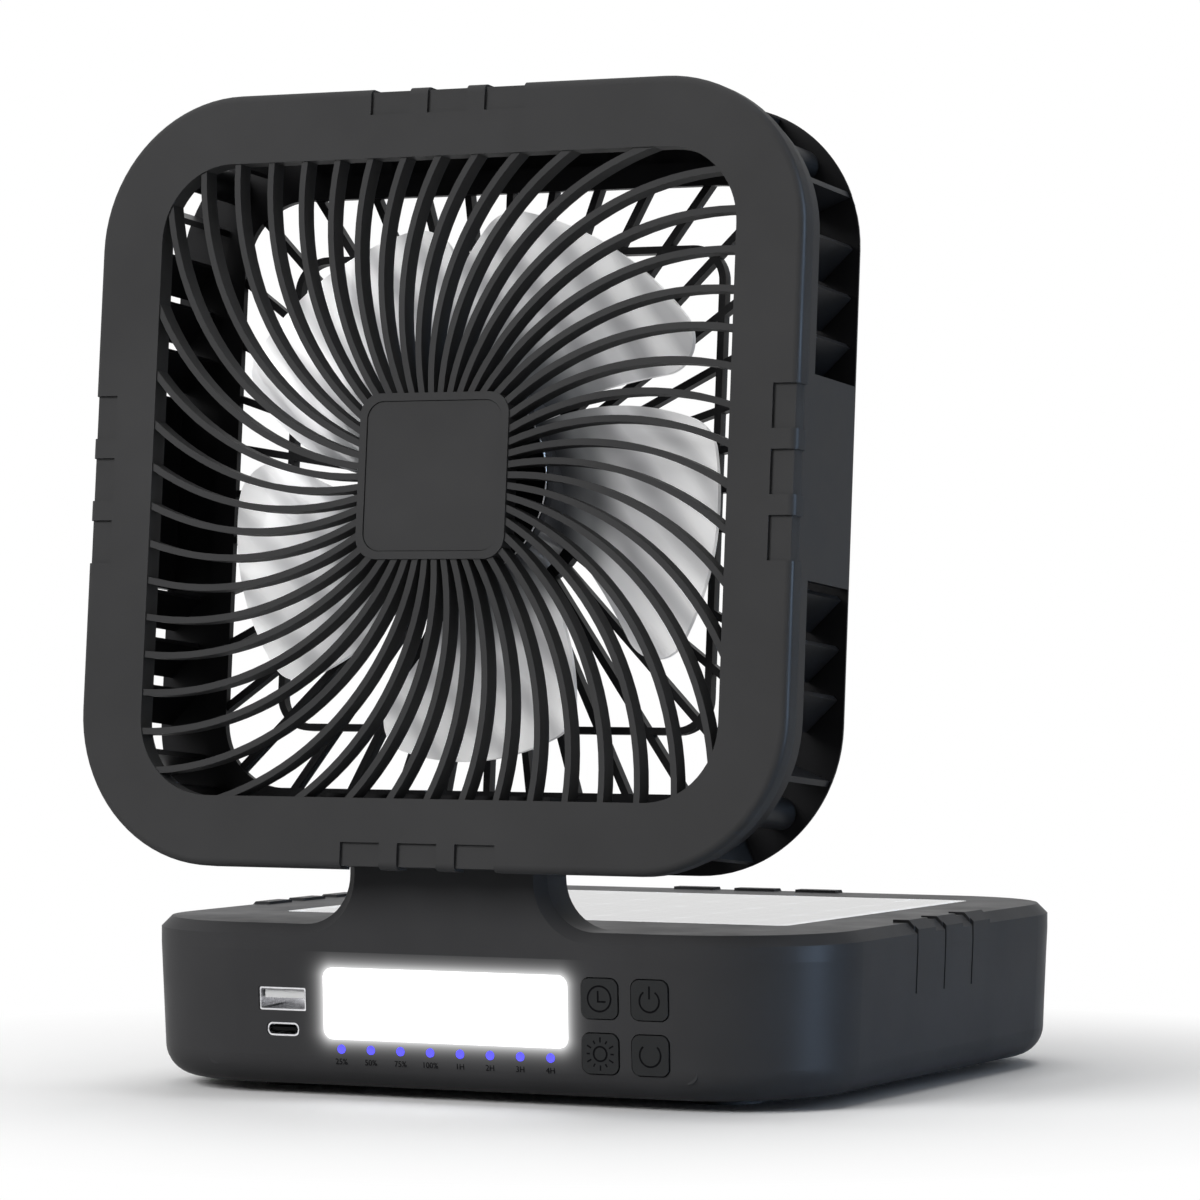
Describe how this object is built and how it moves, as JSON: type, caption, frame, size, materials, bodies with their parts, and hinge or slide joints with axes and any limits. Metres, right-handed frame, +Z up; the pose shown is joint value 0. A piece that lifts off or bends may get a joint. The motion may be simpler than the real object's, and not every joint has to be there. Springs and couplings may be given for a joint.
{
  "type": "portable camping fan",
  "caption": "Square desk fan head on a tilting neck over a flat base with solar panel, light panel, two sockets and push buttons.",
  "frame": {"origin": "middle of the footprint of the whole fan, on the surface it stands on", "axes": "+Z up, -Y the way the fan blows, +X to the right seen from the front"},
  "size_m": [0.192, 0.2051, 0.2474],
  "materials": {
    "base_shell_plastic": "satin fine-grained dark grey",
    "head_plastic": "satin dark grey",
    "button_rubber": "matt dark grey",
    "rubber": "matt",
    "screw_steel": "zinc plated",
    "pin_steel": "ground",
    "washer_nylon": "plain",
    "socket_steel": "nickel plated",
    "socket_plastic": "matt black",
    "lens_white": "translucent white",
    "indicator": "translucent blue",
    "circuit_board": "green lacquer",
    "switch_black": "matt",
    "chip_yellow": "phosphor",
    "cell_wrap": "shrink wrap",
    "tray_plastic": "matt",
    "solar_white": "white board",
    "solar_silicon": "dark silicon",
    "solar_cover": "clear gloss",
    "blade_plastic": "silvery translucent",
    "hub_plastic": "satin",
    "core_steel": "laminated",
    "copper": "enamelled wire",
    "bronze": "sintered",
    "magnet": "ferrite"
  },
  "bodies": {
    "base": {"base_lower_shell": "base_shell_plastic", "base_top_cover": "base_shell_plastic", "neck_rear_cover": "base_shell_plastic", "rubber_feet": "rubber", "base_screws": "screw_steel", "neck_screws": "screw_steel", "usb_a_shell": "socket_steel", "usb_c_shell": "socket_steel", "usb_a_tongue": "socket_plastic", "usb_c_tongue": "socket_plastic", "light_lens": "lens_white", "light_reflector": "lens_white", "indicator_light_pipe": "indicator", "control_board": "circuit_board", "light_board": "circuit_board", "tact_switches": "switch_black", "light_chips": "chip_yellow", "battery_cells": "cell_wrap", "battery_tray": "tray_plastic", "solar_board": "solar_white", "solar_cells": "solar_silicon", "solar_glass": "solar_cover"},
    "head": {"front_grille": "head_plastic", "badge_plate": "head_plastic", "rear_housing": "head_plastic", "rear_grille": "head_plastic", "stator_core": "core_steel", "stator_coils": "copper", "motor_bearings": "bronze", "motor_board": "circuit_board", "motor_screws": "screw_steel", "head_screws": "screw_steel", "hinge_pin": "pin_steel", "hinge_washers": "washer_nylon"},
    "rotor": {"magnet_ring": "magnet", "rotor_hub": "hub_plastic", "rotor_shaft": "pin_steel", "fan_blades": "blade_plastic"},
    "timer_button": {"timer_button": "button_rubber"},
    "power_button": {"power_button": "button_rubber"},
    "light_button": {"light_button": "button_rubber"},
    "speed_button": {"speed_button": "button_rubber"}
  },
  "joints": [
    {"name": "head_tilt", "type": "hinge", "parent": "base", "child": "head", "pos_m": [0, -0.08195, 0.065], "axis": [1, 0, 0], "range_deg": [-85, 15]},
    {"name": "rotor_spin", "type": "hinge", "parent": "head", "child": "rotor", "pos_m": [0, -0.07346, 0.15059], "axis": [0, 0.9962, -0.0872], "continuous": true},
    {"name": "timer_button_press", "type": "slide", "parent": "base", "child": "timer_button", "axis": [0, 0.999, 0.0436], "range_m": [0, 0.0008], "stiffness_N_per_m": 1500, "springref_m": -0.0002},
    {"name": "power_button_press", "type": "slide", "parent": "base", "child": "power_button", "axis": [0, 0.999, 0.0436], "range_m": [0, 0.0008], "stiffness_N_per_m": 1500, "springref_m": -0.0002},
    {"name": "light_button_press", "type": "slide", "parent": "base", "child": "light_button", "axis": [0, 0.999, 0.0436], "range_m": [0, 0.0008], "stiffness_N_per_m": 1500, "springref_m": -0.0002},
    {"name": "speed_button_press", "type": "slide", "parent": "base", "child": "speed_button", "axis": [0, 0.999, 0.0436], "range_m": [0, 0.0008], "stiffness_N_per_m": 1500, "springref_m": -0.0002}
  ]
}
